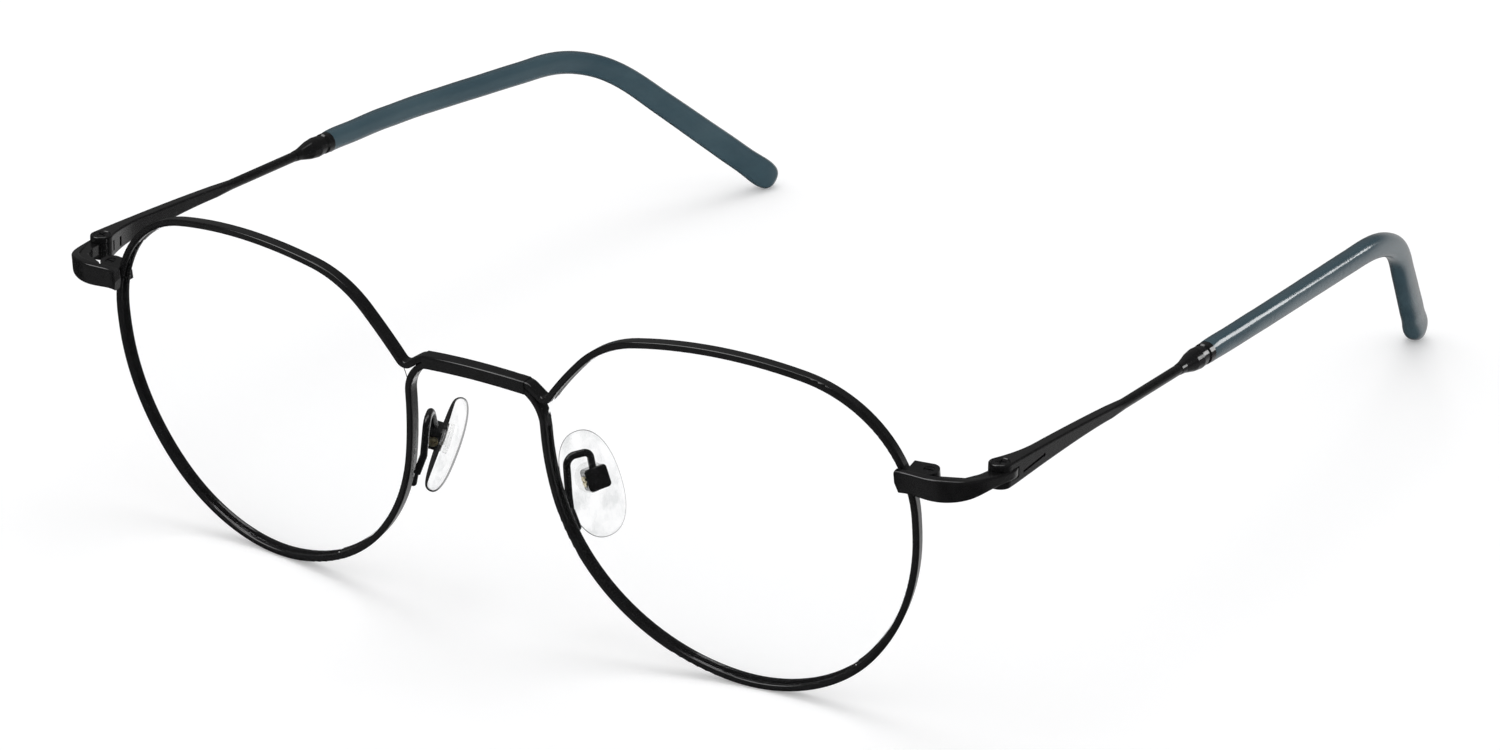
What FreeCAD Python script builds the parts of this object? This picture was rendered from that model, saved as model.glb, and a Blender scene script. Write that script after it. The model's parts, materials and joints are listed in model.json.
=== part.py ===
"""Full-rim metal eyeglasses with panto-shaped lenses, adjustable silicone nose pads
and acetate temple tips, standing open on a table on the rims and the tips.

Frame: millimetres, +Z up, the front faces -Y, the temples run to +Y, X = 0 is the
mirror plane.  The wearer's left side is +X.  The origin is the centre of the
footprint, on the table.  Every paired piece is drawn once for +X and mirrored.
"""
import FreeCAD, Part
import os
from math import atan2, cos, degrees, hypot, pi, radians, sin, sqrt, tan

os.makedirs("parts", exist_ok=True)

# ------------------------------------------------------------------ driving dimensions
DEPTH_SHIFT = -68.98       # moves the rim-plane datum so that the footprint is centred
LENS_CENTRE_X = 34.4       # half the distance between the two lens centres
LENS_CENTRE_Z = 23.50      # height of the lens centres above the table
WRAP = 6.5                 # face-form angle: the temporal side goes back
FRONT_TILT = 7.1           # the tops of the rims lean forward
BASE_RADIUS = 140.0        # sphere that the rims and lenses are formed to

WIRE_WIDTH = 0.86          # rim wire, across the lens plane
WIRE_DEPTH = 1.7           # rim wire, front to back
WIRE_ROUND = 0.24          # rounding of the rim wire's long edges
GROOVE_DEPTH = 0.36        # V groove for the lens bevel
GROOVE_HALF = 0.34
LENS_THICKNESS = 1.2
BEVEL_GAP = 0.05

# Rim outline: tangent arcs (radius, turn in degrees), starting at the top of the nasal
# side, heading down, and going round by the bottom, the temple side and the top.
NASAL_TOP = (-24.65, 6.87)
RIM_ARCS = [(46.0, 11.2), (26.7, 70.0), (20.5, 58.5), (29.0, 38.0), (58.5, 2.4),
            (16.8, 77.0), (54.3, 23.4), (14.5, 34.9), (55.3, 7.8)]
NASAL_LEG_RADIUS = 4.6     # the wire's quarter turn from the bridge into the nasal side
DIP_RADIUS = 1.0           # the tight turn where the upper wire rises to the bridge
DIP_TURN = 87.0
RISE_LENGTH = 1.6
RISE_RADIUS = 2.0
RISE_END_TURN = 0.3        # the last, nearly straight bit that runs into the bridge
NEAR_STRAIGHT = 400.0      # radius of the arcs that stand for straight runs
LENS_CORNER_RADIUS = 9.5   # the bare corner of the lens below the bridge
BLANK_RADIUS = 31.0        # round blank that a lens is cut from
CUTTER_REACH, CUTTER_DEEP = 14.0, 5.0    # size of the edging tool's section

SPLIT_HEIGHT = 9.0         # the rim opens here, above the lens centre
SPLIT_GAP = 0.16
SPLIT_ACROSS = (15.0, 30.0)              # reach of the saw cut, outwards
SPLIT_THROUGH = (-3.0, 8.0)              # and front to back
BLOCK_LOW, BLOCK_HIGH = 7.75, 10.10      # the rim block's underside and top
BLOCK_IN, BLOCK_OUT = 23.2, 26.9         # from beside the wire outwards
BLOCK_FRONT, BLOCK_BACK = 1.3, 3.9       # in the lens's own plane
RIM_SCREW_AT = (25.6, 2.6)
RIM_SCREW_RADIUS, RIM_HEAD_RADIUS = 0.42, 0.62
RIM_SCREW_PLAY, RIM_HEAD_PLAY = 0.05, 0.04
RIM_HEAD_DEPTH, RIM_HEAD_SUNK = 0.40, 0.05
RIM_SCREW_END = 0.3        # the screw stops this far above the lower block's underside
RIM_SLOT_HALF, RIM_SLOT_DEPTH = 0.10, 0.20

BRIDGE_HALF = 7.4          # the bridge meets the rims at X = +-BRIDGE_HALF
BRIDGE_LOW, BRIDGE_HIGH = 10.38, 12.20   # bar's underside and top, above the lens centre
BRIDGE_ARCH = 0.6          # the bar's middle is this much higher than its ends
BRIDGE_BOW = 0.5           # and this much further forward
BRIDGE_END_Y = -0.05       # bar's middle depth at its ends, in the tilted front plane
BRIDGE_PROUD = 0.05        # the bar is deeper than the wire by this on each side
BRIDGE_ROUND = 0.3         # rounding of the bar's long edges

HINGE_X, HINGE_Y, HINGE_Z = 65.6, 10.0, 32.9    # middle of the hinge axis
TEMPLE_DROP = 3.0          # the temples slope down towards the ears
KNUCKLE_RADIUS = 1.45
HINGE_HALF = 1.52          # half height of the knuckle stack
TONGUE_HALF = 0.64         # half height of the middle knuckle
HINGE_GAP = 0.04           # axial play at each side of the middle knuckle
SCREW_RADIUS = 0.58
SCREW_PLAY = 0.04          # radial running clearance of the hinge screw in the tongue
HEAD_RADIUS, HEAD_HEIGHT = 1.02, 0.50
ARM_OUT, ARM_THICK = 1.38, 0.72          # end piece's arm beside the middle knuckle
BUTT = 1.80                # the end piece meets the temple this far behind the axis
BUTT_GAP = 0.08
WIRE_DIAMETER = 1.3        # the temple's round wire
BAR_END = 23.5             # the temple's flat bar ends here, behind the hinge axis
BAR_IN, BAR_OUT = -0.10, 1.225           # its inner and outer face there
BAR_ROUND = 0.26           # rounding of the bar's long edges
NECK_RADIUS = 20.0         # hollow curve between the knuckles and the bar's inner face
BAR_REACH = 4.0            # half width of the block that the bar's side view is cut from
KNUCKLE_ROOM = 0.14        # radial room round the middle knuckle
ARM_ROOM = (0.4, -3.0)     # x and y where the room for the end piece's arm begins
WINDOW_LOW = (-3.0, 2.75, -0.85)         # small opening in the bar's inner face
WINDOW_HIGH = (0.0, 3.25, 0.45)
HEAD_PLAY, HEAD_SUNK = 0.03, 0.06        # room round the hinge screw's head
CHAMFER, CHAMFER_DEPTH = 0.50, 0.14      # bevel round the head's seat
CROSS_HALF_LENGTH, CROSS_HALF_WIDTH, CROSS_DEPTH = 0.70, 0.11, 0.24
CROSS_ANGLES = (20, 110)
SHANK_SUNK = 0.05

# Relief slot in the bar's outer face: length, half width, end radius, rise, start, height.
RELIEF_LENGTH, RELIEF_HALF, RELIEF_END = 4.9, 0.15, 0.24
RELIEF_RISE = 6.8
RELIEF_START, RELIEF_HEIGHT, RELIEF_DEPTH = 2.8, -0.36, 0.2

# Root of the middle knuckle, seen from above: it lies along the end piece's inside.
TONGUE_ROOT = [(-0.7, -0.9), (-0.95, -3.0), (-1.7, -5.0), (-4.7, -6.45), (-4.7, -7.6), (0.3, -6.0),
               (0.86, -3.6), (0.86, -0.4), (0.4, 0.0)]

# End piece: rounding of its edges, and X of its slanted inner end at the bottom and top.
END_ROUND = 0.28
END_SLANT_LOW, END_SLANT_HIGH = 57.15, 56.15
END_SLANT_REACH = (-1.8, 1.6)

# End piece stations: centre x, y, z, heading, tilt, height, thickness.
ARM_X = HINGE_X + ARM_OUT - ARM_THICK / 2
END_STATIONS = [
    (56.6, 1.84, 32.95, 4, 7.1, 2.88, 1.1),
    (60.0, 2.12, 32.92, 6, 7.1, 2.88, 1.1),
    (63.35, 2.78, 32.92, 17, 6.0, 2.80, 1.1),
    (65.05, 4.25, 32.97, 51, 3.0, 2.30, 1.05),
    (65.95, 6.3, 33.02, 69, -1.0, 1.70, 0.90),
    (ARM_X - 0.07, 8.4, 32.98, 85, -3.0, 1.30, ARM_THICK),
    (ARM_X, HINGE_Y + BUTT - BUTT_GAP / 2, 32.81, 90, -3.0, 1.30, ARM_THICK),
]

# The bar seen from the side: along, height, from the knuckles to the bar's end.
BAR_TOP = [(-3.0, 1.50), (3.0, 1.50), (10.0, 1.42), (16.0, 1.29), (BAR_END, 1.02)]
BAR_BOTTOM = [(-3.0, -1.52), (0.0, -1.52), (2.5, -1.36), (6.0, -1.09), (12.0, -0.70), (17.0, -0.45),
              (BAR_END, -0.36)]

# Temple centre line after the bar, measured from the hinge axis: x, along, up.
TAPER_END = (0.55, 27.0, 0.30)
LEVEL_END = (0.05, 61.0, 0.80)
EAR_BEND = (-3.4, 102.0, -0.55)
TIP_END = (-14.6, 132.2, -25.32)
SWAY_RADIUS = 220.0        # gentle inward curve before the ear bend
EAR_RADIUS = 30.0
FERRULE_START = 40.4
FERRULE_LENGTH = 7.0
CORE_END_MARGIN = 9.0      # the metal core stops this far inside the tip's end

# Turned profile of the ferrule: along, radius.
FERRULE_PROFILE = [(0.0, 0.70), (1.0, 0.78), (3.0, 1.22), (4.3, 1.36), (5.3, 1.30), (5.5, 1.16),
                   (5.8, 1.16), (6.0, 1.34), (7.0, 1.34)]

# Temple tip sections: share of its length, half thickness, half height.
TIP_SECTIONS = [(0.0, 1.20, 1.36), (0.04, 1.22, 1.40), (0.25, 1.24, 1.44), (0.45, 1.28, 1.50),
                (0.60, 1.36, 1.60), (0.75, 1.44, 1.72), (0.95, 1.54, 1.90)]
TIP_END_HALF = (1.56, 1.94)
TIP_STEP = 0.045           # one section at each such share of the tip's length
TIP_END_ANGLES = (0, 25, 48, 66, 80)     # sections of the rounded end
OVAL_POWER = 2.4           # squareness of the tips' and pads' soft ovals
OVAL_POINTS = 16

PAD_CENTRE = (10.40, 6.95, 19.65)
PAD_UP = (-0.370, 0.030, 0.929)          # long axis of the pad
PAD_FACE = (-0.80, 0.53, -0.28)          # towards the nose
PAD_LENGTH, PAD_WIDTH = 13.4, 7.3
PAD_PIVOT = (0.0, -2.35, 0.85)           # the pad screw, in the pad's own frame
ARM_RADIUS = 0.46
NEARLY_ROUND = 0.01        # round wires keep flats this narrow

# Pad levels, through its thickness: depth, share of the outline.
PAD_LEVELS = [(-1.15, 0.80), (-0.80, 0.95), (-0.2, 1.0), (0.35, 0.96), (0.8, 0.80), (1.15, 0.45)]
PAD_SLIM, PAD_LONG = 0.4, 0.6            # the small levels are slimmer and longer by these
PLATE_RADIUS, PLATE_THICKNESS, PLATE_AT = 1.9, 0.5, -0.75    # plate inside the pad
STEM_HALF, STEM_FRONT = 0.75, -0.70

# The cup at the arm's end and its screw, in the pad's frame.
BOX_HALF_X, BOX_HALF_Z = 1.45, 1.42
BOX_BACK, BOX_FRONT = -3.35, -1.55       # in the pad's frame, along its face direction
BOX_WALL = 0.12
BOX_ROOM = 1.0             # the lug's room above its pin, below the cup's roof
BOX_CORNER, BOX_EDGE = 0.50, 0.25
LUG_HALF = 0.62
LUG_PLAY = 0.12
PIN_RADIUS, PIN_PLAY = 0.42, 0.05
PIN_SEAT, PIN_HEAD, PIN_HEAD_HEIGHT = 0.70, 0.68, 0.38
PIN_SEAT_DEPTH, PIN_HEAD_DEPTH = 0.25, 0.25    # how far seat and head go into the cup
PIN_SHORT = 0.1            # the screw's end is this far inside the cup's side
PIN_SLOT_HALF, PIN_SLOT_AT = 0.10, 0.03

FAR = 50.0                 # cutting tools reach this far, beyond every part

# The pad arm's route, before the depth shift, from the rim's back to the top of the box.
ARM_POINTS = [(11.35, 1.35, 17.9), (10.65, 1.9, 20.2), (10.2, 2.15, 24.85), (11.6, 5.0, 24.85),
              (11.6, 5.6, 22.5)]
ARM_RADII = [1.1, 1.2, 1.1]
FOOT_RADIUS = 0.45
FOOT_HIGH = (0.10, -0.03, 0.5)           # ends of the brazed foot, from the arm's first point
FOOT_LOW = (0.75, 0.23, -1.5)


# ------------------------------------------------------------------------- small tools
def vec(x, y, z):
    return FreeCAD.Vector(x, y, z)


def box(low, high):
    size = [b - a for a, b in zip(low, high)]
    return Part.makeBox(size[0], size[1], size[2], vec(*low))


def cylinder(radius, low, high, x=0.0, y=0.0):
    return Part.makeCylinder(radius, high - low, vec(x, y, low), vec(0, 0, 1))


def fused(shapes):
    """One solid from shapes that touch or overlap."""
    whole = shapes[0].fuse(shapes[1:]) if len(shapes) > 1 else shapes[0]
    whole = whole.removeSplitter()
    return whole.Solids[0] if len(whole.Solids) == 1 else whole


def turned(axis, angle):
    return FreeCAD.Rotation(axis, angle)


def placed(shape, placement):
    moved = shape.copy()
    moved.Placement = placement.multiply(moved.Placement)
    return moved


def rounded_outline(half_a, half_b, corner):
    """Corner points and arcs of a rounded rectangle, counter-clockwise, in a plane."""
    k = corner * (1 - sqrt(0.5))
    a, b, c = half_a, half_b, corner
    return [("line", (a, -b + c), (a, b - c)), ("arc", (a, b - c), (a - k, b - k), (a - c, b)),
            ("line", (a - c, b), (-a + c, b)), ("arc", (-a + c, b), (-a + k, b - k), (-a, b - c)),
            ("line", (-a, b - c), (-a, -b + c)), ("arc", (-a, -b + c), (-a + k, -b + k), (-a + c, -b)),
            ("line", (-a + c, -b), (a - c, -b)), ("arc", (a - c, -b), (a - k, -b + k), (a, -b + c))]


def outline_wire(pieces, to_space):
    edges = []
    for piece in pieces:
        points = [to_space(*p) for p in piece[1:]]
        if piece[0] == "line":
            edges.append(Part.LineSegment(points[0], points[1]).toShape())
        else:
            edges.append(Part.Arc(*points).toShape())
    return Part.Wire(edges)


def prism(points, low, high):
    """A straight prism along Z over a polygon in XY."""
    corners = [vec(x, y, low) for x, y in points]
    face = Part.Face(Part.makePolygon(corners + corners[:1]))
    return face.extrude(vec(0, 0, high - low))


# ------------------------------------------------------------------------------ frames
UP_Z = vec(0, 0, 1)
ALONG_X = vec(1, 0, 0)
EYE_FRAME = FreeCAD.Placement(
    vec(LENS_CENTRE_X, DEPTH_SHIFT, LENS_CENTRE_Z),
    turned(ALONG_X, FRONT_TILT).multiply(turned(UP_Z, WRAP)))
FRONT_FRAME = FreeCAD.Placement(vec(0, DEPTH_SHIFT, LENS_CENTRE_Z), turned(ALONG_X, FRONT_TILT))
HINGE_FRAME = FreeCAD.Placement(vec(HINGE_X, HINGE_Y + DEPTH_SHIFT, HINGE_Z),
                                turned(ALONG_X, -TEMPLE_DROP))


def pad_frame():
    """X across the pad, Y towards the nose, Z up along the pad."""
    up = vec(*PAD_UP).normalize()
    face = vec(*PAD_FACE)
    face = (face - up * face.dot(up)).normalize()
    across = face.cross(up)
    x, y, z = PAD_CENTRE
    matrix = FreeCAD.Matrix(across.x, face.x, up.x, x, across.y, face.y, up.y, y + DEPTH_SHIFT,
                            across.z, face.z, up.z, z, 0, 0, 0, 1)
    return FreeCAD.Placement(matrix)


# ---------------------------------------------------------------------- rims and lenses
SPHERE_CENTRE = vec(0, BASE_RADIUS, 0)


def on_sphere(u, v):
    """A point of the flat outline carried to the base sphere, keeping circles circles."""
    rho2 = u * u + v * v
    k = 4 * BASE_RADIUS ** 2 / (4 * BASE_RADIUS ** 2 + rho2)
    return vec(u * k, rho2 * k / (2 * BASE_RADIUS), v * k)


def arc_chain(start, heading, arcs):
    """Walk tangent arcs: a positive turn goes left.  Returns (start, middle, end) points."""
    (u, v), h, out = start, radians(heading), []
    for radius, turn in arcs:
        side = 1 if turn > 0 else -1
        cu, cv = u - side * radius * sin(h), v + side * radius * cos(h)
        points = []
        for part in (0, 0.5, 1):
            g = h + radians(turn) * part
            points.append((cu + side * radius * sin(g), cv - side * radius * cos(g)))
        out.append((points, (cu, cv), radius))
        (u, v), h = points[2], h + radians(turn)
    return out, (u, v), degrees(h)


def sphere_segment(points, section):
    """A flat section swung along one arc on the base sphere."""
    first, middle, last = [on_sphere(*p) for p in points]
    axis = (middle - first).cross(last - middle).normalize()
    hub = SPHERE_CENTRE + axis * (first - SPHERE_CENTRE).dot(axis)
    a, b = first - hub, last - hub
    angle = degrees(atan2(a.cross(b).dot(axis), a.dot(b)))
    forward = axis.cross(a).normalize()
    front = (first - SPHERE_CENTRE).normalize()
    outward = forward.cross(front)
    face = Part.Face(outline_wire(section, lambda p, q: first + outward * p + front * q))
    return face.revolve(SPHERE_CENTRE, axis, angle)


def plain_section():
    return rounded_outline(WIRE_WIDTH / 2, WIRE_DEPTH / 2, WIRE_ROUND)


def grooved_section():
    """The rim wire with the V groove on its lens side."""
    pieces = plain_section()
    inner = -WIRE_WIDTH / 2
    low, high = pieces[4][2], pieces[4][1]
    groove = [("line", high, (inner, GROOVE_HALF)),
              ("line", (inner, GROOVE_HALF), (inner + GROOVE_DEPTH, 0)),
              ("line", (inner + GROOVE_DEPTH, 0), (inner, -GROOVE_HALF)),
              ("line", (inner, -GROOVE_HALF), low)]
    return pieces[:4] + groove + pieces[5:]


def lens_cutter_section():
    """Everything outside the lens: its edge with the bevel that fills the groove."""
    edge = -WIRE_WIDTH / 2 - BEVEL_GAP
    peak = edge + GROOVE_DEPTH
    half = GROOVE_HALF - BEVEL_GAP
    corners = [(edge, -CUTTER_DEEP), (CUTTER_REACH, -CUTTER_DEEP), (CUTTER_REACH, CUTTER_DEEP),
               (edge, CUTTER_DEEP), (edge, half),
               (peak, 0), (edge, -half)]
    return [("line", p, q) for p, q in zip(corners, corners[1:] + corners[:1])]


def rim_arcs():
    return arc_chain(NASAL_TOP, 270, RIM_ARCS)


def upper_leg():
    """From the end of the outline through the dip and up to the bridge."""
    _, end, heading = rim_arcs()
    straight = (NEAR_STRAIGHT, degrees(RISE_LENGTH / NEAR_STRAIGHT))
    rise = DIP_TURN - (heading - 540) - straight[1]
    arcs = [(DIP_RADIUS, -DIP_TURN), straight, (RISE_RADIUS, rise), (NEAR_STRAIGHT, RISE_END_TURN)]
    return arc_chain(end, heading, arcs)[0]


def nasal_leg():
    """The quarter turn from the bridge down into the nasal side."""
    u, v = NASAL_TOP
    r = NASAL_LEG_RADIUS
    return arc_chain((u - r, v + r), 0, [(r, -90)])[0]


def rim():
    """The whole rim wire of one lens, from the bridge round and back to the bridge."""
    body, _, _ = rim_arcs()
    segments = [sphere_segment(points, grooved_section()) for points, _, _ in body]
    segments += [sphere_segment(points, plain_section()) for points, _, _ in upper_leg() + nasal_leg()]
    beyond = placed(box((-FAR, -FAR, -FAR), (BRIDGE_HALF, FAR, FAR)), FRONT_FRAME)
    trimmed = [placed(segment, EYE_FRAME).cut(beyond) for segment in segments]
    loop = fused([segment for segment in trimmed if segment.Volume > 0.01])
    half_gap = SPLIT_GAP / 2
    slit = box((SPLIT_ACROSS[0], SPLIT_THROUGH[0], SPLIT_HEIGHT - half_gap),
               (SPLIT_ACROSS[1], SPLIT_THROUGH[1], SPLIT_HEIGHT + half_gap))
    return largest(loop.cut(placed(slit, EYE_FRAME)))


def corner_arc(first, second):
    """The arc inside two outline circles that rounds the lens's bare corner."""
    (ax, ay), ra = first
    (bx, by), rb = second
    r = LENS_CORNER_RADIUS
    da, db = ra - r, rb - r
    gap = hypot(bx - ax, by - ay)
    along = (da * da - db * db + gap * gap) / (2 * gap)
    off = sqrt(da * da - along * along)
    ex, ey = (bx - ax) / gap, (by - ay) / gap
    options = [(ax + ex * along - s * ey * off, ay + ey * along + s * ex * off) for s in (1, -1)]
    cx, cy = min(options)
    touch = []
    for (hx, hy), radius in (first, second):
        k = radius / hypot(cx - hx, cy - hy)
        touch.append((hx + (cx - hx) * k, hy + (cy - hy) * k))
    mid = [(touch[0][i] + touch[1][i]) / 2 - (cx, cy)[i] for i in (0, 1)]
    k = r / hypot(*mid)
    return touch[0], (cx + mid[0] * k, cy + mid[1] * k), touch[1]


def trimmed_arc(centre, radius, start, end):
    """Points of an arc of a circle, going left from one point of it to another."""
    a = atan2(start[1] - centre[1], start[0] - centre[0])
    b = atan2(end[1] - centre[1], end[0] - centre[0])
    m = a + ((b - a) % (2 * pi)) / 2
    return [start, (centre[0] + radius * cos(m), centre[1] + radius * sin(m)), end]


def lens():
    body, _, _ = rim_arcs()
    nasal, diagonal = body[0], body[-1]
    near, top, far = corner_arc((diagonal[1], diagonal[2]), (nasal[1], nasal[2]))
    outline = [trimmed_arc(nasal[1], nasal[2], far, nasal[0][2])]
    outline += [points for points, _, _ in body[1:-1]]
    outline += [trimmed_arc(diagonal[1], diagonal[2], diagonal[0][0], near), [near, top, far]]
    half = LENS_THICKNESS / 2
    front_ball = Part.makeSphere(BASE_RADIUS + half, SPHERE_CENTRE)
    back_ball = Part.makeSphere(BASE_RADIUS - half, SPHERE_CENTRE)
    blank = Part.makeCylinder(BLANK_RADIUS, FAR, vec(0, -FAR / 2, 0), vec(0, 1, 0))
    blank = blank.common(front_ball).cut(back_ball)
    for points in outline:
        blank = blank.cut(sphere_segment(points, lens_cutter_section()))
    return placed(largest(blank), EYE_FRAME)


def largest(shape):
    return max(shape.Solids, key=lambda s: s.Volume)


# ------------------------------------------------------------------------------- bridge
def bridge():
    """A flat bar, arched up and bowed forward, between the two rims' wire ends."""
    middle = (BRIDGE_LOW + BRIDGE_HIGH) / 2
    half_tall, half_deep = (BRIDGE_HIGH - BRIDGE_LOW) / 2, WIRE_DEPTH / 2 + BRIDGE_PROUD
    sag = hypot(BRIDGE_ARCH, BRIDGE_BOW)
    lift = vec(0, -BRIDGE_BOW, BRIDGE_ARCH) * (1 / sag)
    radius = (BRIDGE_HALF ** 2 + sag ** 2) / (2 * sag)
    centre = vec(0, BRIDGE_END_Y, middle) + lift * (sag - radius)
    axis = lift.cross(ALONG_X)
    half_angle = degrees((BRIDGE_HALF + 1) / radius)
    outline = rounded_outline(half_deep, half_tall, BRIDGE_ROUND)
    crown = centre + lift * radius
    face = Part.Face(outline_wire(outline, lambda p, q: crown + vec(0, p, q)))
    face.rotate(centre, axis, -half_angle)
    bar = face.revolve(centre, axis, 2 * half_angle)
    bar = bar.common(box((-BRIDGE_HALF, -FAR, -FAR), (BRIDGE_HALF, FAR, FAR)))
    return placed(largest(bar), FRONT_FRAME)


# --------------------------------------------------------------- end piece and rim block
def end_piece(rim_solid):
    """The swept bar in front of the rim that turns back to the hinge."""
    wires = []
    for x, y, z, heading, tilt, height, thick in END_STATIONS:
        turn = turned(ALONG_X, tilt).multiply(turned(UP_Z, heading))
        frame = FreeCAD.Placement(vec(x, y + DEPTH_SHIFT, z), turn)
        outline = rounded_outline(thick / 2, height / 2, END_ROUND)
        wires.append(outline_wire(outline, lambda p, q: frame.multVec(vec(0, p, q))))
    bar = Part.makeLoft(wires, True, False)
    low, high = END_SLANT_REACH
    slant = prism([(0, low), (END_SLANT_LOW, low), (END_SLANT_HIGH, high), (0, high)], -FAR, FAR)
    slant.rotate(vec(0, 0, 0), ALONG_X, 90)
    slant.translate(vec(0, END_STATIONS[0][1] + DEPTH_SHIFT, END_STATIONS[0][2]))
    bar = bar.cut(slant).cut(rim_solid)
    return largest(bar)


def rim_block(low, high, bore):
    """Half of the block that closes the rim, beside and behind the wire."""
    radius = (BLOCK_BACK - BLOCK_FRONT) / 2
    mid = (BLOCK_FRONT + BLOCK_BACK) / 2
    body = box((BLOCK_IN, BLOCK_FRONT, low), (BLOCK_OUT - radius, BLOCK_BACK, high))
    nose = cylinder(radius, low, high, BLOCK_OUT - radius, mid)
    block = fused([body, nose])
    block = block.cut(cylinder(bore, low - 1, high + 1, *RIM_SCREW_AT))
    return block


def rim_blocks(rim_solid, end_solid):
    """The upper and lower block, cut to the wire and the end piece, and their screw."""
    upper = rim_block(SPLIT_HEIGHT + SPLIT_GAP / 2, BLOCK_HIGH, RIM_SCREW_RADIUS + RIM_SCREW_PLAY)
    lower = rim_block(BLOCK_LOW, SPLIT_HEIGHT - SPLIT_GAP / 2, RIM_SCREW_RADIUS)
    head_low, head_high = BLOCK_HIGH - RIM_HEAD_DEPTH, BLOCK_HIGH - RIM_HEAD_SUNK
    upper = upper.cut(cylinder(RIM_HEAD_RADIUS + RIM_HEAD_PLAY, head_low, FAR, *RIM_SCREW_AT))
    screw = fused([cylinder(RIM_SCREW_RADIUS, BLOCK_LOW + RIM_SCREW_END, head_low, *RIM_SCREW_AT),
                   cylinder(RIM_HEAD_RADIUS, head_low, head_high, *RIM_SCREW_AT)])
    slot = box((-FAR, RIM_SCREW_AT[1] - RIM_SLOT_HALF, head_high - RIM_SLOT_DEPTH),
               (FAR, RIM_SCREW_AT[1] + RIM_SLOT_HALF, FAR))
    screw = screw.cut(slot)
    halves = []
    for half in (upper, lower):
        half = placed(half, EYE_FRAME).cut(rim_solid).cut(end_solid)
        halves.append(largest(half))
    return halves[0], halves[1], placed(screw, EYE_FRAME)


# ------------------------------------------------------------------------------- hinge
def hinge_tongue(end_solid):
    """The middle knuckle and its root, brazed inside the end piece."""
    knuckle = cylinder(KNUCKLE_RADIUS, -TONGUE_HALF, TONGUE_HALF)
    root = prism(TONGUE_ROOT, -TONGUE_HALF, TONGUE_HALF)
    tongue = fused([knuckle, root]).cut(cylinder(SCREW_RADIUS + SCREW_PLAY, -FAR, FAR))
    return largest(placed(tongue, HINGE_FRAME).cut(end_solid))


def bar_outline():
    """The temple's front end seen from above: round knuckle, hollow neck, straight bar."""
    r, big = KNUCKLE_RADIUS, NECK_RADIUS
    centre_x = BAR_IN - big
    centre_y = sqrt((big + r) ** 2 - centre_x ** 2)
    k = r / (big + r)
    touch = (centre_x * k, centre_y * k)
    turn = atan2(centre_y - touch[1], touch[0] - centre_x) / 2
    neck_mid = (centre_x + big * cos(turn), centre_y - big * sin(turn))
    corners = [(BAR_IN, centre_y), (BAR_IN, BAR_END), (BAR_OUT, BAR_END), (r, 0)]
    return [("arc", (r, 0), (0, -r), touch), ("arc", touch, neck_mid, corners[0])] + [
        ("line", p, q) for p, q in zip(corners, corners[1:])]


def side_curve(points):
    curve = Part.BSplineCurve()
    curve.interpolate([vec(-BAR_REACH, y, z) for y, z in points])
    return curve.toShape()


def temple_bar():
    """The forged front end of a temple, with the outer knuckles."""
    tall = Part.Face(outline_wire(bar_outline(), lambda x, y: vec(x, y, -BAR_REACH)))
    tall = tall.extrude(vec(0, 0, 2 * BAR_REACH))
    top, bottom = side_curve(BAR_TOP), side_curve(BAR_BOTTOM)
    ends = []
    for (y, high), (_, low) in ((BAR_TOP[0], BAR_BOTTOM[0]), (BAR_TOP[-1], BAR_BOTTOM[-1])):
        ends.append(Part.LineSegment(vec(-BAR_REACH, y, low), vec(-BAR_REACH, y, high)).toShape())
    outline = Part.Wire(Part.sortEdges([top, bottom] + ends)[0])
    bar = largest(tall.common(Part.Face(outline).extrude(vec(2 * BAR_REACH, 0, 0))))
    long_edges = [e for e in bar.Edges if e.BoundBox.YMax - e.BoundBox.YMin > 2 * BAR_ROUND]
    return largest(bar.makeFillet(BAR_ROUND, long_edges))


def hinge_screw():
    high = HINGE_HALF
    shank = cylinder(SCREW_RADIUS, -high + SHANK_SUNK, high - HEAD_HEIGHT)
    head = cylinder(HEAD_RADIUS, high - HEAD_HEIGHT, high - HEAD_SUNK)
    screw = fused([shank, head])
    floor = high - HEAD_SUNK - CROSS_DEPTH
    for angle in CROSS_ANGLES:
        slot = box((-CROSS_HALF_LENGTH, -CROSS_HALF_WIDTH, floor),
                   (CROSS_HALF_LENGTH, CROSS_HALF_WIDTH, FAR))
        slot.rotate(vec(0, 0, 0), UP_Z, angle)
        screw = screw.cut(slot)
    return placed(largest(screw), HINGE_FRAME)


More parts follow.
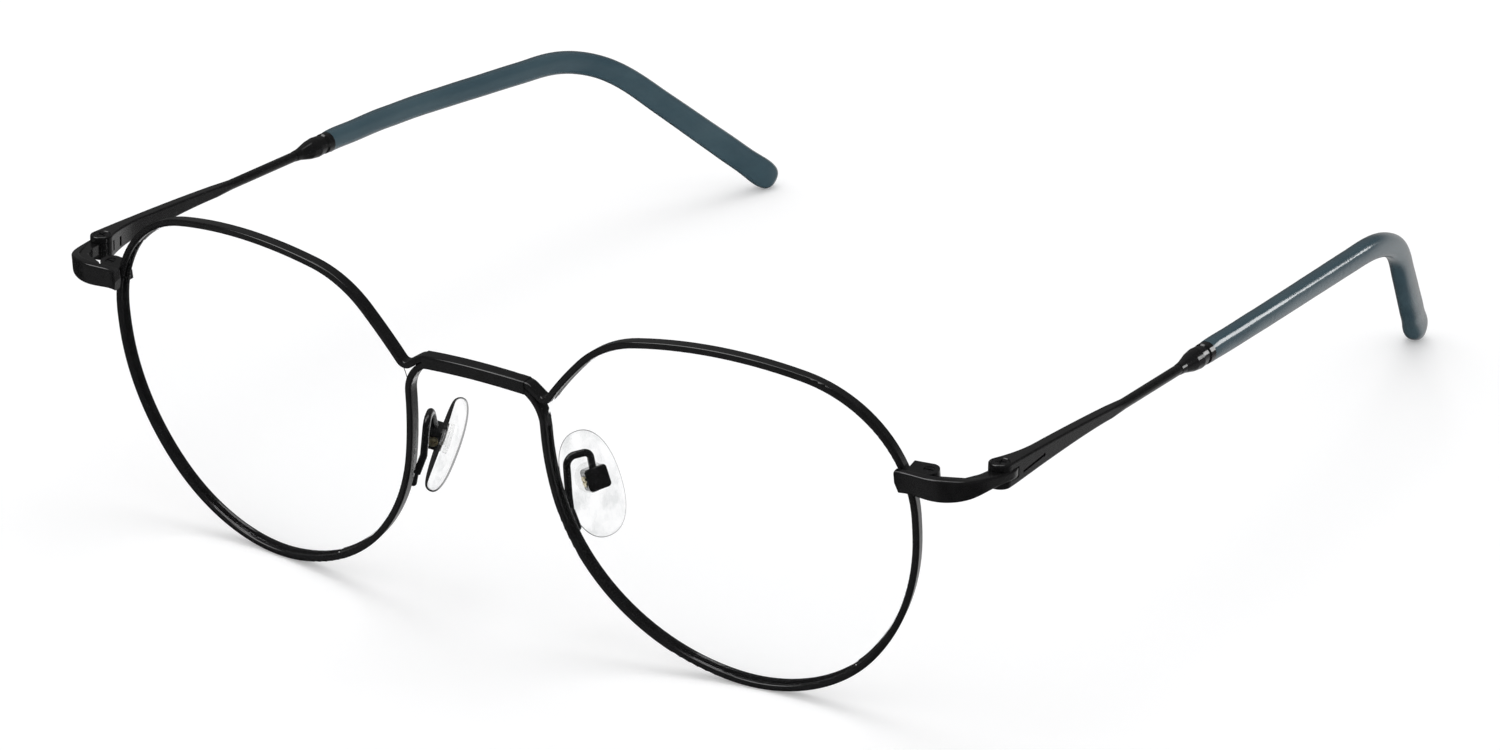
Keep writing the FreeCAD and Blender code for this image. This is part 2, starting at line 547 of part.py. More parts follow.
# ------------------------------------------------------------------------- temple path
class Path:
    """Straight runs joined by tangent arcs, with a section frame carried along."""

    def __init__(self, points, radii, up):
        self.pieces = []
        points = [vec(*p) for p in points]
        here = points[0]
        self.start_up = up
        for i in range(1, len(points)):
            run = (points[i] - here).normalize()
            if i == len(points) - 1:
                self.pieces.append(("line", here, points[i]))
                break
            after = (points[i + 1] - points[i]).normalize()
            turn = run.getAngle(after)
            cut = radii[i - 1] * tan(turn / 2)
            begin, end = points[i] - run * cut, points[i] + after * cut
            axis = run.cross(after).normalize()
            centre = begin + axis.cross(run) * radii[i - 1]
            self.pieces.append(("line", here, begin))
            self.pieces.append(("arc", centre, axis, degrees(turn), radii[i - 1]))
            here = end

    def length(self):
        return sum(self.piece_length(p) for p in self.pieces)

    @staticmethod
    def piece_length(piece):
        if piece[0] == "line":
            return (piece[2] - piece[1]).Length
        return radians(piece[3]) * piece[4]

    def frame_at(self, station):
        """Placement at a distance along the path: X sideways, Y up, Z forward."""
        first = self.pieces[0]
        forward = (first[2] - first[1]).normalize()
        side = self.start_up.cross(forward).normalize()
        up = forward.cross(side)
        point = first[1]
        for number, piece in enumerate(self.pieces):
            size = self.piece_length(piece)
            part = min(station, size)
            if number == len(self.pieces) - 1:
                part = station
            if piece[0] == "line":
                point = piece[1] + (piece[2] - piece[1]).normalize() * part
            else:
                spin = turned(piece[2], degrees(part / piece[4]))
                point = piece[1] + spin.multVec(point - piece[1])
                side, up, forward = [spin.multVec(v) for v in (side, up, forward)]
            station -= size
            if station <= 0:
                break
        matrix = FreeCAD.Matrix(side.x, up.x, forward.x, point.x, side.y, up.y, forward.y, point.y,
                                side.z, up.z, forward.z, point.z, 0, 0, 0, 1)
        return FreeCAD.Placement(matrix)

    def section(self, station, outline):
        frame = self.frame_at(station)
        return outline_wire(outline, lambda p, q: frame.multVec(vec(p, q, 0)))

    def tube(self, outline, until=None):
        """A constant section along the path, up to a station."""
        until = self.length() if until is None else until
        station, solids = 0.0, []
        for piece in self.pieces:
            size = min(self.piece_length(piece), until - station)
            if size <= 1e-6:
                break
            face = Part.Face(self.section(station, outline))
            if piece[0] == "line":
                solids.append(face.extrude((piece[2] - piece[1]).normalize() * size))
            else:
                solids.append(face.revolve(piece[1], piece[2], degrees(size / piece[4])))
            station += size
        return fused(solids)


def temple_path():
    return Path([TAPER_END, LEVEL_END, EAR_BEND, TIP_END], [SWAY_RADIUS, EAR_RADIUS], UP_Z)


def wire_outline():
    half = WIRE_DIAMETER / 2
    return rounded_outline(half, half, half - NEARLY_ROUND)


def temple():
    """One metal piece: knuckles, flat bar, taper, round wire and the tip's core."""
    path = temple_path()
    half_x, half_z = (BAR_OUT - BAR_IN) / 2, (BAR_TOP[-1][1] - BAR_BOTTOM[-1][1]) / 2
    mid_x, mid_z = (BAR_OUT + BAR_IN) / 2, (BAR_TOP[-1][1] + BAR_BOTTOM[-1][1]) / 2
    square = rounded_outline(half_x, half_z, BAR_ROUND)
    begin = outline_wire(square, lambda p, q: vec(mid_x + p, BAR_END, mid_z + q))
    taper = Part.makeLoft([begin, path.section(0.0, wire_outline())], True, False)
    wire = path.tube(wire_outline(), path.length() - CORE_END_MARGIN)
    whole = fused([temple_bar(), taper, wire])
    middle = TONGUE_HALF + HINGE_GAP
    room = cylinder(KNUCKLE_RADIUS + KNUCKLE_ROOM, -middle, middle)
    arm_room = box((*ARM_ROOM, -middle), (FAR, BUTT + BUTT_GAP / 2, middle))
    window = box(WINDOW_LOW, WINDOW_HIGH)
    head = cylinder(HEAD_RADIUS + HEAD_PLAY, HINGE_HALF - HEAD_HEIGHT, HINGE_HALF + 1)
    chamfer = Part.makeCone(HEAD_RADIUS, HEAD_RADIUS + CHAMFER, CHAMFER,
                            vec(0, 0, HINGE_HALF - CHAMFER_DEPTH), UP_Z)
    pilot = cylinder(SCREW_RADIUS, -HINGE_HALF - 1, 0)
    clear = cylinder(SCREW_RADIUS + SCREW_PLAY, 0, HINGE_HALF + 1)
    for tool in (room, arm_room, window, head, chamfer, pilot, clear, relief_slot()):
        whole = whole.cut(tool)
    return placed(largest(whole), HINGE_FRAME)


def relief_slot():
    """A narrow slot in the bar's outer face, slightly inclined, with a round rear end."""
    slot = box((0, 0, -RELIEF_HALF), (BAR_OUT, RELIEF_LENGTH, RELIEF_HALF))
    end = Part.makeCylinder(RELIEF_END, BAR_OUT, vec(0, RELIEF_LENGTH - 0.1, 0), ALONG_X)
    slot = fused([slot, end])
    slot.rotate(vec(0, 0, 0), ALONG_X, RELIEF_RISE)
    slot.translate(vec(BAR_OUT - RELIEF_DEPTH, RELIEF_START, RELIEF_HEIGHT))
    return slot


def oval(half_a, half_b):
    """Evenly turned points of a soft rectangular oval."""
    points = []
    for i in range(OVAL_POINTS):
        t = 2 * pi * i / OVAL_POINTS
        c, s = cos(t), sin(t)
        k = (abs(c) ** OVAL_POWER + abs(s) ** OVAL_POWER) ** (-1 / OVAL_POWER)
        points.append((half_a * c * k, half_b * s * k))
    return points


def oval_wire(frame, half_a, half_b):
    curve = Part.BSplineCurve()
    curve.interpolate([frame.multVec(vec(a, b, 0)) for a, b in oval(half_a, half_b)], PeriodicFlag=True)
    return Part.Wire([curve.toShape()])


def seam_station():
    return FERRULE_START + FERRULE_LENGTH - TAPER_END[1]


def ferrule(temple_solid):
    """The turned collar between the wire and the acetate tip."""
    path = temple_path()
    frame = path.frame_at(seam_station() - FERRULE_LENGTH)
    points = [vec(0, 0, 0)] + [vec(r, 0, s) for s, r in FERRULE_PROFILE] + [vec(0, 0, FERRULE_LENGTH)]
    face = Part.Face(Part.makePolygon(points + points[:1]))
    body = face.revolve(vec(0, 0, 0), UP_Z, 360)
    body = placed(placed(body, frame), HINGE_FRAME)
    return largest(body.cut(temple_solid))


def tip_half_sizes(share):
    """Half thickness and half height of the tip, at a share of its length."""
    for (s0, a0, b0), (s1, a1, b1) in zip(TIP_SECTIONS, TIP_SECTIONS[1:]):
        if share <= s1:
            break
    k = (share - s0) / (s1 - s0)
    return a0 + (a1 - a0) * k, b0 + (b1 - b0) * k


def temple_tip(temple_solid):
    """The acetate tip: it swells slowly to a rounded end over the metal core."""
    path = temple_path()
    start = seam_station()
    length = path.length() - start
    round_length = TIP_END_HALF[1]
    wires = []
    for i in range(int(TIP_SECTIONS[-1][0] / TIP_STEP) + 1):
        half_a, half_b = tip_half_sizes(i * TIP_STEP)
        wires.append(oval_wire(path.frame_at(start + i * TIP_STEP * length), half_a, half_b))
    for angle in TIP_END_ANGLES:
        station = path.length() - round_length + round_length * sin(radians(angle))
        k = cos(radians(angle))
        wires.append(oval_wire(path.frame_at(station), TIP_END_HALF[0] * k, TIP_END_HALF[1] * k))
    body = placed(Part.makeLoft(wires, True, False), HINGE_FRAME)
    return largest(body.cut(temple_solid))


# ---------------------------------------------------------------------------- nose pads
def pad_insert():
    """The stiff core moulded into the pad, with the lug that the screw goes through."""
    y, z = PAD_PIVOT[1], PAD_PIVOT[2]
    plate = Part.makeCylinder(PLATE_RADIUS, PLATE_THICKNESS, vec(0, PLATE_AT, z), vec(0, 1, 0))
    stem = box((-LUG_HALF, y, z - STEM_HALF), (LUG_HALF, STEM_FRONT, z + STEM_HALF))
    eye = Part.makeCylinder(STEM_HALF, 2 * LUG_HALF, vec(-LUG_HALF, y, z), ALONG_X)
    bore = Part.makeCylinder(PIN_RADIUS + PIN_PLAY, FAR, vec(-FAR / 2, y, z), ALONG_X)
    return fused([plate, stem, eye]).cut(bore)


def nose_pad(insert):
    """A thin crowned oval of clear silicone, moulded round the insert."""
    a, b = PAD_WIDTH / 2, PAD_LENGTH / 2
    wires = []
    for y, k in PAD_LEVELS:
        frame = FreeCAD.Placement(vec(0, y, 0), turned(ALONG_X, -90))
        wires.append(oval_wire(frame, a * k - (1 - k) * PAD_SLIM, b * k + (1 - k) * PAD_LONG))
    pad = Part.makeLoft(wires, True, False)
    return largest(pad.cut(insert))


def pad_box():
    """The small metal cup at the end of the arm that holds the pad's lug."""
    y, z = PAD_PIVOT[1], PAD_PIVOT[2]
    outline = rounded_outline(BOX_HALF_X, BOX_HALF_Z, BOX_CORNER)
    wire = outline_wire(outline, lambda p, q: vec(p, BOX_BACK, z + q))
    cup = Part.Face(wire).extrude(vec(0, BOX_FRONT - BOX_BACK, 0))
    cup = cup.makeFillet(BOX_EDGE, [e for e in cup.Edges if abs(e.BoundBox.YMax - BOX_BACK) < 1e-3])
    half_slot = LUG_HALF + LUG_PLAY
    slot = box((-half_slot, BOX_BACK + BOX_WALL, -FAR), (half_slot, 0, z + BOX_ROOM))
    pin = Part.makeCylinder(PIN_RADIUS, FAR, vec(-FAR / 2, y, z), ALONG_X)
    head = Part.makeCylinder(PIN_SEAT, FAR, vec(PIN_SEAT_DEPTH - BOX_HALF_X - FAR, y, z), ALONG_X)
    return cup.cut(slot).cut(pin).cut(head)


def pad_screw():
    y, z = PAD_PIVOT[1], PAD_PIVOT[2]
    outer = PIN_HEAD_DEPTH - BOX_HALF_X - PIN_HEAD_HEIGHT
    inner = PIN_SHORT - BOX_HALF_X
    shank = Part.makeCylinder(PIN_RADIUS, BOX_HALF_X - inner, vec(inner, y, z), ALONG_X)
    head = Part.makeCylinder(PIN_HEAD, PIN_HEAD_HEIGHT, vec(outer, y, z), ALONG_X)
    slot = box((-FAR, -FAR, z - PIN_SLOT_HALF), (PIN_SLOT_AT - BOX_HALF_X, FAR, z + PIN_SLOT_HALF))
    return fused([shank, head]).cut(slot)


def pad_arm(rim_solid, cup):
    """The springy wire from the rim to the pad box, with a foot brazed along the rim."""
    points = [(x, y + DEPTH_SHIFT, z) for x, y, z in ARM_POINTS]
    path = Path(points, ARM_RADII, vec(0, 1, 0))
    wire = path.tube(rounded_outline(ARM_RADIUS, ARM_RADIUS, ARM_RADIUS - NEARLY_ROUND))
    foot_high, foot_low = vec(*points[0]) + vec(*FOOT_HIGH), vec(*points[0]) + vec(*FOOT_LOW)
    foot_run = foot_low - foot_high
    foot = Part.makeCylinder(FOOT_RADIUS, foot_run.Length, foot_high, foot_run)
    toe, heel = Part.makeSphere(FOOT_RADIUS, foot_low), Part.makeSphere(FOOT_RADIUS, foot_high)
    arm = fused([wire, foot, toe, heel])
    return largest(arm.cut(rim_solid).cut(cup))


# ----------------------------------------------------------------------------- assembly
def mirrored(shape):
    return shape.mirror(vec(0, 0, 0), ALONG_X)


def left_side():
    """Every piece of the wearer's left side, by name."""
    pieces = {}
    pieces["rim"] = rim()
    pieces["lens"] = lens()
    end = end_piece(pieces["rim"])
    pieces["end_piece"] = end
    upper, lower, screw = rim_blocks(pieces["rim"], end)
    pieces["rim_block_upper"] = upper
    pieces["rim_block_lower"] = lower
    pieces["rim_block_screw"] = screw
    pieces["hinge_tongue"] = hinge_tongue(end)
    pieces["temple"] = temple()
    pieces["hinge_screw"] = hinge_screw()
    pieces["ferrule"] = ferrule(pieces["temple"])
    pieces["temple_tip"] = temple_tip(pieces["temple"])
    frame = pad_frame()
    insert = pad_insert()
    pieces["pad_insert"] = placed(insert, frame)
    pieces["nose_pad"] = placed(nose_pad(insert), frame)
    cup = placed(pad_box(), frame)
    pieces["pad_box"] = cup
    pieces["pad_screw"] = placed(pad_screw(), frame)
    pieces["pad_arm"] = pad_arm(pieces["rim"], cup)
    return pieces


def main():
    nodes = {"bridge": bridge()}
    for name, shape in left_side().items():
        nodes[name + "_left"] = shape
        nodes[name + "_right"] = mirrored(shape)
    low, high = vec(1e9, 1e9, 1e9), vec(-1e9, -1e9, -1e9)
    for name, shape in nodes.items():
        shape.exportStep("parts/" + name + ".step")
        b = shape.optimalBoundingBox()
        low = vec(min(low.x, b.XMin), min(low.y, b.YMin), min(low.z, b.ZMin))
        high = vec(max(high.x, b.XMax), max(high.y, b.YMax), max(high.z, b.ZMax))
        print("%-24s solids %d valid %s volume %.3f  z %.2f..%.2f" % (
            name, len(shape.Solids), shape.isValid(), shape.Volume, b.ZMin, b.ZMax))
    print("box", low, high)


main()
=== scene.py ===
"""Studio picture of the eyeglasses: materials, silicone pads, light and camera.

Every length is in metres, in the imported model's own frame: +Z up, the front faces -Y,
the temples run to +Y, the wearer's left is +X.
"""

import json
from math import cos, pi, radians, sin

import bpy
import numpy as np
from mathutils import Matrix, Vector


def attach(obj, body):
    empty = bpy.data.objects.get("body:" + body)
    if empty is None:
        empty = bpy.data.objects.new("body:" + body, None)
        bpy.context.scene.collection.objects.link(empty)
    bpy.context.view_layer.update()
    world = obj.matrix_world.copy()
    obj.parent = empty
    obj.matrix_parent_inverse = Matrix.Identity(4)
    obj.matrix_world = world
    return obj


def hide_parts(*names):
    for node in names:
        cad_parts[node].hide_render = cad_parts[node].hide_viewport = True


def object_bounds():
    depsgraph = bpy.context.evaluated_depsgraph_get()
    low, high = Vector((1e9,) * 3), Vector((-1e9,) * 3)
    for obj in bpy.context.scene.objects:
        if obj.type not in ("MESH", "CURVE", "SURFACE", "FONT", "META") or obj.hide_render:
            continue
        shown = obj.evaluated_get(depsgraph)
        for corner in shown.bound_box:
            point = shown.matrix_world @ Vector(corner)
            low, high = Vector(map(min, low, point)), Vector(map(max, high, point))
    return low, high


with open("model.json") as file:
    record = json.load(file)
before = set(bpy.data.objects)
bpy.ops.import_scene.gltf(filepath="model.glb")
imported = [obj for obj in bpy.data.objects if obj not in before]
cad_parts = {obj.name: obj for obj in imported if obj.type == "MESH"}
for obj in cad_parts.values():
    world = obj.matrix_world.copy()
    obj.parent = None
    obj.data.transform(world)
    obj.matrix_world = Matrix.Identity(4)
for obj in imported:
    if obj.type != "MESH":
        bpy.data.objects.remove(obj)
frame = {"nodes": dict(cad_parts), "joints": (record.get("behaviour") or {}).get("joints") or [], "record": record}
cad_bounds = [list(corner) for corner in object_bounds()]

MM = 0.001
SIDES = ("left", "right")

# ------------------------------------------------------------------------------ camera
AZIMUTH, ELEVATION, ROLL = radians(33.507), radians(23.268), radians(-0.574)
FOCAL_MM, SENSOR_MM = 160.3, 36.0
DISTANCE = 825.8 * MM
LOOK_OFFSET = Vector((9.5, -26.3, -2.25)) * MM      # from the middle of the object's box
CLIP_NEAR, CLIP_FAR = 0.01, 50.0

# ------------------------------------------------------------------------------- light
# Lamps: place, target, size and radiance.
OVERHEAD = ((-0.10, 0.15, 1.2), (0, 0, 0), (0.7, 0.7), 1.6)
NEAR_BOX = ((0.330, 0.415, 0.165), (0.06, 0.0, 0.03), (0.26, 0.20), 4.0)
NEAR_BOX_LIGHTS = ("temple_tip_left", "ferrule_left")

# The surroundings as glosses see them: towards, the cosines of the angle from there at which
# each glow starts and is full, and its lowest and full strength.  All but the last are soft
# round patches; the last is a slope over the whole room.  Sides are as the camera sees them.
GLOWS = [
    ((-0.45, -0.35, 0.80), 0.92, 0.985, 0.0, 4.0),       # high up on the left, very bright
    ((0.52, 0.76, -0.38), 0.84, 0.97, 0.0, 0.15),        # below, on the right
    ((-0.08, 0.91, -0.40), 0.80, 0.97, 0.0, 0.45),       # below, behind the object
    ((-0.50, -0.77, -0.40), 0.75, 0.97, 0.0, 0.10),      # below, on the left
    ((-0.51, 0.77, 0.40), 0.75, 0.97, 0.0, 0.05),        # above, straight behind the object
    ((0, 0, 1), -0.6, 1.0, 0.02, 0.06),                  # the room, a little lighter above
]
WHITE_STRENGTH = 1.0       # of the surroundings as every other kind of ray sees them
FLOOR_SIZE = 12.0
FLOOR_GLOW = 0.22

# --------------------------------------------------------------------------- materials
# Refractive indices chosen for looks, lower than the real ones.
LENS_INDEX, SILICONE_INDEX, INSERT_INDEX = 1.03, 1.065, 1.12

# ---------------------------------------------------------------------------- nose pads
PAD_STEPS = 48             # points round the pad's outline
PAD_SQUARENESS = 2.3
# Share of the outline, and place through the half thickness, from the back to the face.
PAD_PROFILE = [(0.05, -0.62), (0.35, -0.66), (0.62, -0.80), (0.80, -0.93), (0.92, -0.85), (0.985, -0.50),
               (1.0, -0.10), (0.975, 0.22), (0.90, 0.50), (0.74, 0.76), (0.50, 0.92), (0.25, 0.99),
               (0.05, 1.0)]


# ---------------------------------------------------------------- camera and lamps
def view_axes():
    """Right, up and backward directions of the camera before it is rolled."""
    right = Vector((cos(AZIMUTH), sin(AZIMUTH), 0))
    back = Vector((sin(AZIMUTH) * cos(ELEVATION), -cos(AZIMUTH) * cos(ELEVATION), sin(ELEVATION)))
    return right, back.cross(right), back


def add_camera():
    low, high = (Vector(corner) for corner in cad_bounds)
    right, up, back = view_axes()
    x_axis = right * cos(ROLL) + up * sin(ROLL)
    y_axis = up * cos(ROLL) - right * sin(ROLL)
    data = bpy.data.cameras.new("camera")
    data.lens, data.sensor_width = FOCAL_MM, SENSOR_MM
    data.clip_start, data.clip_end = CLIP_NEAR, CLIP_FAR
    camera = bpy.data.objects.new("camera", data)
    place = (low + high) / 2 + LOOK_OFFSET + back * DISTANCE
    turn = Matrix((x_axis, y_axis, back)).transposed().to_4x4()
    camera.matrix_world = Matrix.Translation(place) @ turn
    bpy.context.scene.collection.objects.link(camera)
    bpy.context.scene.camera = camera


def area_light(name, place, target, size, radiance):
    """A soft rectangular lamp of a given brightness at a place, facing a target."""
    width, height = size
    data = bpy.data.lights.new(name, "AREA")
    data.shape, data.size, data.size_y = "RECTANGLE", width, height
    data.energy = radiance * pi * width * height
    light = bpy.data.objects.new(name, data)
    light.location = Vector(place)
    light.rotation_euler = (Vector(place) - Vector(target)).to_track_quat("Z", "Y").to_euler()
    light.visible_camera = False
    bpy.context.scene.collection.objects.link(light)
    return light


def add_lights():
    """A large soft lamp above, and a near one that only puts a gloss on the left tip and ferrule."""
    area_light("overhead", *OVERHEAD)
    near = area_light("near_box", *NEAR_BOX)
    near.visible_diffuse = False
    lit = bpy.data.collections.new("lit_by_near_box")
    for node in NEAR_BOX_LIGHTS:
        lit.objects.link(frame["nodes"][node])
    near.light_linking.receiver_collection = lit


def reflection_ray(tree):
    """1 for a ray that has just been reflected by a gloss, 0 for any other ray."""
    path = tree.nodes.new("ShaderNodeLightPath")
    only_gloss = tree.nodes.new("ShaderNodeMath")
    only_gloss.operation = "SUBTRACT"
    only_gloss.use_clamp = True
    tree.links.new(path.outputs["Is Glossy Ray"], only_gloss.inputs[0])
    tree.links.new(path.outputs["Is Transmission Ray"], only_gloss.inputs[1])
    return only_gloss.outputs[0]


def add_world():
    """Even white light on everything, but a dark room with a few soft glows for the glosses."""
    world = bpy.data.worlds.new("studio")
    world.use_nodes = True
    tree = world.node_tree
    tree.nodes.clear()
    link = tree.links.new

    def node(kind, **values):
        made = tree.nodes.new("ShaderNode" + kind)
        for key, value in values.items():
            setattr(made, key, value)
        return made

    def glow(toward, start, end, low, high):
        """Strength that rises from low to high as the direction turns towards a place."""
        dot = node("VectorMath", operation="DOT_PRODUCT")
        dot.inputs[1].default_value = Vector(toward).normalized()
        link(coords.outputs["Generated"], dot.inputs[0])
        ramp = node("MapRange", interpolation_type="SMOOTHSTEP")
        for name, value in zip(("From Min", "From Max", "To Min", "To Max"), (start, end, low, high)):
            ramp.inputs[name].default_value = value
        link(dot.outputs["Value"], ramp.inputs["Value"])
        return ramp.outputs["Result"]

    def add(first, second):
        total = node("Math", operation="ADD")
        link(first, total.inputs[0])
        link(second, total.inputs[1])
        return total.outputs[0]

    coords = node("TexCoord")
    reflected = glow(*GLOWS[0])
    for values in GLOWS[1:]:
        reflected = add(reflected, glow(*values))
    choose = node("Mix", data_type="FLOAT")
    choose.inputs["A"].default_value = WHITE_STRENGTH
    link(reflection_ray(tree), choose.inputs["Factor"])
    link(reflected, choose.inputs["B"])
    background = node("Background")
    output = node("OutputWorld")
    link(choose.outputs["Result"], background.inputs["Strength"])
    link(background.outputs["Background"], output.inputs["Surface"])
    bpy.context.scene.world = world


def add_floor():
    """A pale table that glows slightly and leaves the glosses dark."""
    bpy.ops.mesh.primitive_plane_add(size=FLOOR_SIZE)
    floor = bpy.context.object
    floor.name = "floor"
    material, _, shader = new_material("floor_paper")
    shader.inputs["Base Color"].default_value = (0.86, 0.86, 0.865, 1)
    shader.inputs["Emission Color"].default_value = (1, 1, 1, 1)
    shader.inputs["Emission Strength"].default_value = FLOOR_GLOW
    shader.inputs["Roughness"].default_value = 0.9
    shader.inputs["Specular IOR Level"].default_value = 0.0
    floor.data.materials.append(material)
    floor.visible_glossy = False


# --------------------------------------------------------------------------- materials
def new_material(name):
    """A material, its node tree and its shader."""
    material = bpy.data.materials.new(name)
    material.use_nodes = True
    nodes = material.node_tree
    shader = next(n for n in nodes.nodes if n.type == "BSDF_PRINCIPLED")
    return material, nodes, shader


def noise(nodes, scale, detail=3.0, stretch=(1, 1, 1), rough=0.5):
    """Noise over the object's own coordinates, with features about 1/scale metres wide."""
    coords = nodes.nodes.new("ShaderNodeTexCoord")
    mapping = nodes.nodes.new("ShaderNodeMapping")
    mapping.inputs["Scale"].default_value = stretch
    texture = nodes.nodes.new("ShaderNodeTexNoise")
    texture.inputs["Scale"].default_value = scale
    texture.inputs["Detail"].default_value = detail
    texture.inputs["Roughness"].default_value = rough
    nodes.links.new(coords.outputs["Object"], mapping.inputs["Vector"])
    nodes.links.new(mapping.outputs["Vector"], texture.inputs["Vector"])
    return texture.outputs["Fac"]


def spread(nodes, value, low, high, start=0.3, end=0.7):
    """A texture's value carried to the range low..high."""
    ramp = nodes.nodes.new("ShaderNodeMapRange")
    ramp.inputs["From Min"].default_value = start
    ramp.inputs["From Max"].default_value = end
    ramp.inputs["To Min"].default_value = low
    ramp.inputs["To Max"].default_value = high
    nodes.links.new(value, ramp.inputs["Value"])
    return ramp.outputs["Result"]


def two_tone(nodes, value, dark, light, start=0.3, end=0.7):
    """A texture's value as a colour between a dark and a light tone."""
    ramp = nodes.nodes.new("ShaderNodeValToRGB")
    ramp.color_ramp.elements[0].position = start
    ramp.color_ramp.elements[1].position = end
    ramp.color_ramp.elements[0].color = (*dark, 1)
    ramp.color_ramp.elements[1].color = (*light, 1)
    nodes.links.new(value, ramp.inputs["Fac"])
    return ramp.outputs["Color"]


def add_bump(nodes, shader, height, depth, strength):
    """Relief from a texture: depth in metres."""
    bump = nodes.nodes.new("ShaderNodeBump")
    bump.inputs["Distance"].default_value = depth
    bump.inputs["Strength"].default_value = strength
    nodes.links.new(height, bump.inputs["Height"])
    nodes.links.new(bump.outputs["Normal"], shader.inputs["Normal"])


def lacquer(name, dark, light, low_rough, high_rough):
    """Sprayed black lacquer over metal: deep black, satin, with a very fine orange peel."""
    material, nodes, shader = new_material(name)
    colour = two_tone(nodes, noise(nodes, 900, 4), dark, light)
    nodes.links.new(colour, shader.inputs["Base Color"])
    rough = spread(nodes, noise(nodes, 420, 5), low_rough, high_rough)
    nodes.links.new(rough, shader.inputs["Roughness"])
    shader.inputs["Specular IOR Level"].default_value = 0.35
    shader.inputs["Coat Weight"].default_value = 0.8
    shader.inputs["Coat Roughness"].default_value = 0.05
    add_bump(nodes, shader, noise(nodes, 2600, 3), 4e-6, 0.25)
    return material


def screw_metal(name, dark, light, metallic):
    """Turned screw: metal with fine turning marks."""
    material, nodes, shader = new_material(name)
    colour = two_tone(nodes, noise(nodes, 1500, 4), dark, light)
    nodes.links.new(colour, shader.inputs["Base Color"])
    shader.inputs["Metallic"].default_value = metallic
    nodes.links.new(spread(nodes, noise(nodes, 2200, 4), 0.22, 0.42), shader.inputs["Roughness"])
    add_bump(nodes, shader, noise(nodes, 6000, 2, (1, 1, 6)), 4e-6, 0.6)
    return material


def acetate():
    """Polished steel-blue acetate with a faint cloudy depth and hairline polishing marks."""
    material, nodes, shader = new_material("temple_acetate")
    cloud = noise(nodes, 160, 4, (1, 0.35, 1), 0.55)
    colour = two_tone(nodes, cloud, (0.042, 0.080, 0.102), (0.062, 0.106, 0.128), 0.35, 0.68)
    nodes.links.new(colour, shader.inputs["Base Color"])
    rough = spread(nodes, noise(nodes, 700, 5, (1, 0.15, 1)), 0.16, 0.26)
    nodes.links.new(rough, shader.inputs["Roughness"])
    shader.inputs["Specular IOR Level"].default_value = 0.6
    shader.inputs["Coat Weight"].default_value = 1.0
    shader.inputs["Coat Roughness"].default_value = 0.13
    add_bump(nodes, shader, noise(nodes, 900, 2, (1, 0.2, 1)), 4e-6, 0.15)
    return material


def silicone():
    """Clear silicone with a faint cloudiness and a soft gloss."""
    material, nodes, shader = new_material("pad_silicone")
    cloud = noise(nodes, 420, 4, (1, 1, 0.6), 0.6)
    colour = two_tone(nodes, cloud, (0.76, 0.77, 0.77), (1, 1, 1), 0.36, 0.54)
    nodes.links.new(colour, shader.inputs["Base Color"])
    shader.inputs["Transmission Weight"].default_value = 1.0
    shader.inputs["IOR"].default_value = SILICONE_INDEX
    nodes.links.new(spread(nodes, noise(nodes, 600, 3), 0.03, 0.12), shader.inputs["Roughness"])
    add_bump(nodes, shader, noise(nodes, 420, 2), 4e-5, 0.5)
    return material


def hard_insert():
    """The clear hard plastic moulded into the pad."""
    material, nodes, shader = new_material("pad_core")
    shader.inputs["Base Color"].default_value = (0.96, 0.96, 0.955, 1)
    shader.inputs["Transmission Weight"].default_value = 0.9
    shader.inputs["IOR"].default_value = INSERT_INDEX
    nodes.links.new(spread(nodes, noise(nodes, 800, 3), 0.05, 0.16), shader.inputs["Roughness"])
    return material


def lens_glass():
    """Clear coated lens: shadow rays and reflected rays pass straight through it."""
    material, nodes, shader = new_material("lens")
    shader.inputs["Base Color"].default_value = (0.995, 0.997, 0.998, 1)
    shader.inputs["Transmission Weight"].default_value = 1.0
    shader.inputs["IOR"].default_value = LENS_INDEX
    shader.inputs["Roughness"].default_value = 0.0
    shader.inputs["Coat Weight"].default_value = 0.07
    shader.inputs["Coat Roughness"].default_value = 0.0
    path = nodes.nodes.new("ShaderNodeLightPath")
    clear = nodes.nodes.new("ShaderNodeBsdfTransparent")
    mix = nodes.nodes.new("ShaderNodeMixShader")
    output = next(n for n in nodes.nodes if n.type == "OUTPUT_MATERIAL")
    either = nodes.nodes.new("ShaderNodeMath")
    either.operation = "MAXIMUM"
    nodes.links.new(path.outputs["Is Shadow Ray"], either.inputs[0])
    nodes.links.new(reflection_ray(nodes), either.inputs[1])
    nodes.links.new(either.outputs[0], mix.inputs["Fac"])
    nodes.links.new(shader.outputs["BSDF"], mix.inputs[1])
    nodes.links.new(clear.outputs["BSDF"], mix.inputs[2])
    nodes.links.new(mix.outputs["Shader"], output.inputs["Surface"])
    return material


def dress_cad_nodes():
    """Every CAD node that stays gets the finish of its material slot."""
    slots = {
        "frame_metal": lacquer("frame_lacquer", (0.0055, 0.0055, 0.0058), (0.0090, 0.0090, 0.0095),
                               0.15, 0.24),
        "hinge_metal": lacquer("hinge_lacquer", (0.0045, 0.0045, 0.0047), (0.0075, 0.0075, 0.0080),
                               0.13, 0.22),
        "screw_steel": screw_metal("screw_black_steel", (0.02, 0.02, 0.022), (0.07, 0.07, 0.075), 0.85),
        "pad_screw_brass": screw_metal("pad_screw_brass", (0.42, 0.36, 0.22), (0.72, 0.66, 0.46), 1.0),
        "lens": lens_glass(),
        "temple_acetate": acetate(),
        "pad_silicone": silicone(),
        "pad_core": hard_insert(),
    }
    for part in frame["record"]["subparts"]:
        mesh = frame["nodes"][part["node"]].data
        mesh.materials.clear()
        mesh.materials.append(slots[part["material_slot"]])
    return slots


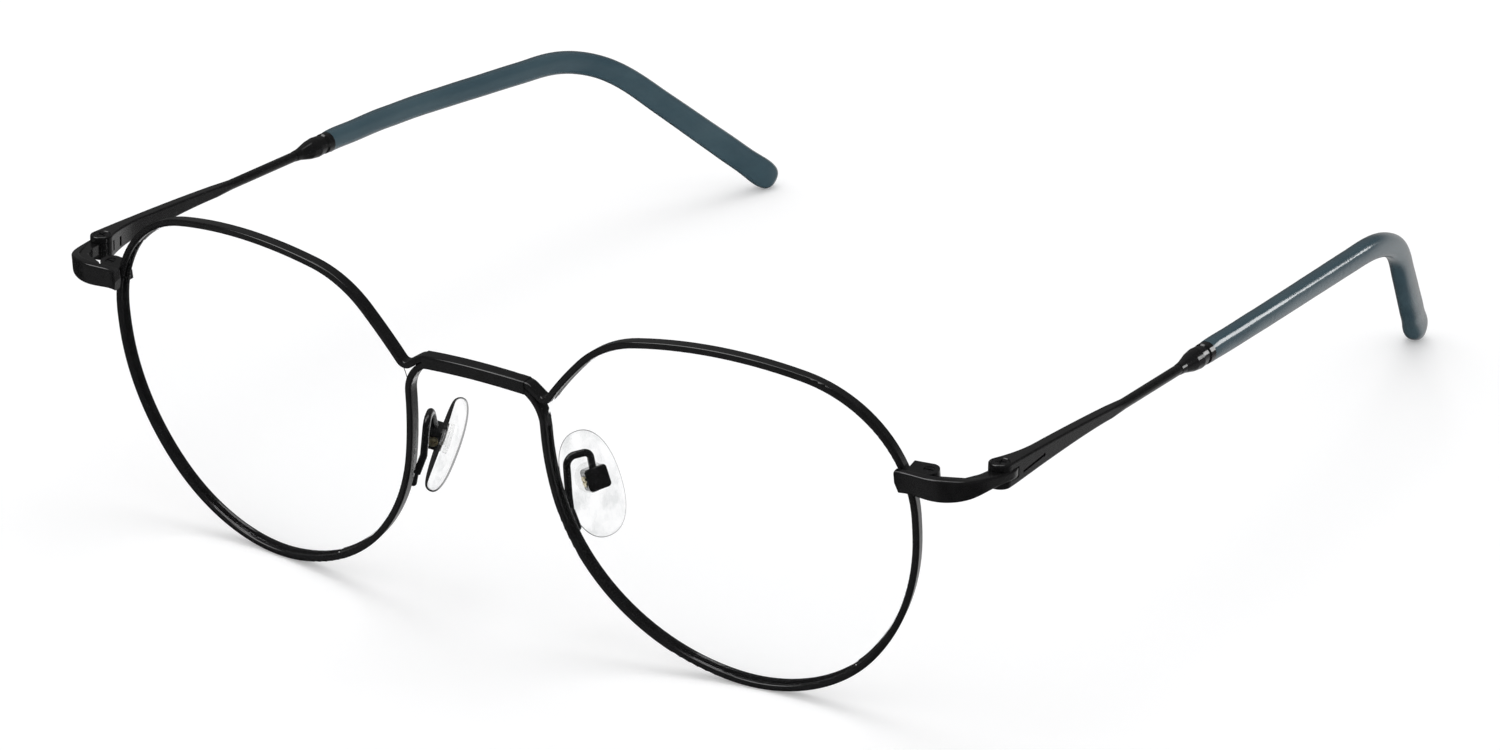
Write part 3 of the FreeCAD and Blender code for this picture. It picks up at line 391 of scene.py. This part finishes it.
# --------------------------------------------------------------------------- nose pads
def pad_points(side):
    """The corner points of a pad's CAD solid."""
    return np.array([v.co for v in frame["nodes"]["nose_pad_" + side].data.vertices])


def pad_axes(side):
    """Centre and across, face and up directions of a pad, from its CAD solid and its joint."""
    joint = next(j for j in frame["joints"] if j["child"] == "pad_" + side)
    across = Vector(joint["axis"]).normalized()
    points = pad_points(side)
    centre = (points.max(0) + points.min(0)) / 2
    spread_axes = np.linalg.svd(points - points.mean(0), full_matrices=False)[2]
    up = Vector(spread_axes[0])
    up = (up - across * up.dot(across)).normalized()
    if up.z < 0:
        up = -up
    face = across.cross(up).normalized()
    if face.x * centre[0] > 0:
        face = -face
    return Vector(centre), across, face, up


def rings_to_mesh(name, rings):
    """A closed skin over rings of points, each ring with the same number of points."""
    count = len(rings[0])
    points = [p for ring in rings for p in ring]
    faces = []
    for r in range(len(rings) - 1):
        for i in range(count):
            j = (i + 1) % count
            faces.append((r * count + i, r * count + j, (r + 1) * count + j, (r + 1) * count + i))
    first = range(count)
    last = range((len(rings) - 1) * count, len(rings) * count)
    faces.append(tuple(reversed(first)))
    faces.append(tuple(last))
    mesh = bpy.data.meshes.new(name)
    mesh.from_pydata([tuple(p) for p in points], [], faces)
    mesh.update()
    piece = bpy.data.objects.new(name, mesh)
    bpy.context.scene.collection.objects.link(piece)
    return piece


def smooth(piece):
    """Rounded shading and a finer, softer skin."""
    for polygon in piece.data.polygons:
        polygon.use_smooth = True
    modifier = piece.modifiers.new("smooth", "SUBSURF")
    modifier.levels = modifier.render_levels = 2


def soft_oval(half_a, half_b, angle):
    """The point of a soft rectangular oval at an angle."""
    c, s = cos(angle), sin(angle)
    k = (abs(c) ** PAD_SQUARENESS + abs(s) ** PAD_SQUARENESS) ** (-1 / PAD_SQUARENESS)
    return half_a * c * k, half_b * s * k


def silicone_pad(side, material):
    """One crowned oval pad with a rolled edge and a shallow dish on its back."""
    centre, across, face, up = pad_axes(side)
    points = pad_points(side) - np.array(centre)
    half_width = np.abs(points @ np.array(across)).max()
    half_length = np.abs(points @ np.array(up)).max()
    half_thick = np.abs(points @ np.array(face)).max()
    rings = []
    for share, depth in PAD_PROFILE:
        ring = []
        for i in range(PAD_STEPS):
            a, b = soft_oval(half_width, half_length, 2 * pi * i / PAD_STEPS)
            ring.append(centre + across * (a * share) + up * (b * share) + face * (depth * half_thick))
        rings.append(ring)
    piece = rings_to_mesh("silicone_pad_" + side, rings)
    smooth(piece)
    piece.data.materials.append(material)
    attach(piece, "pad_" + side)
    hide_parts("nose_pad_" + side)


# --------------------------------------------------------------------------------- run
add_camera()
add_world()
add_lights()
add_floor()
finishes = dress_cad_nodes()
for side in SIDES:
    silicone_pad(side, finishes["pad_silicone"])

scene = bpy.context.scene
scene.view_settings.view_transform = "Standard"
scene.view_settings.look = "None"
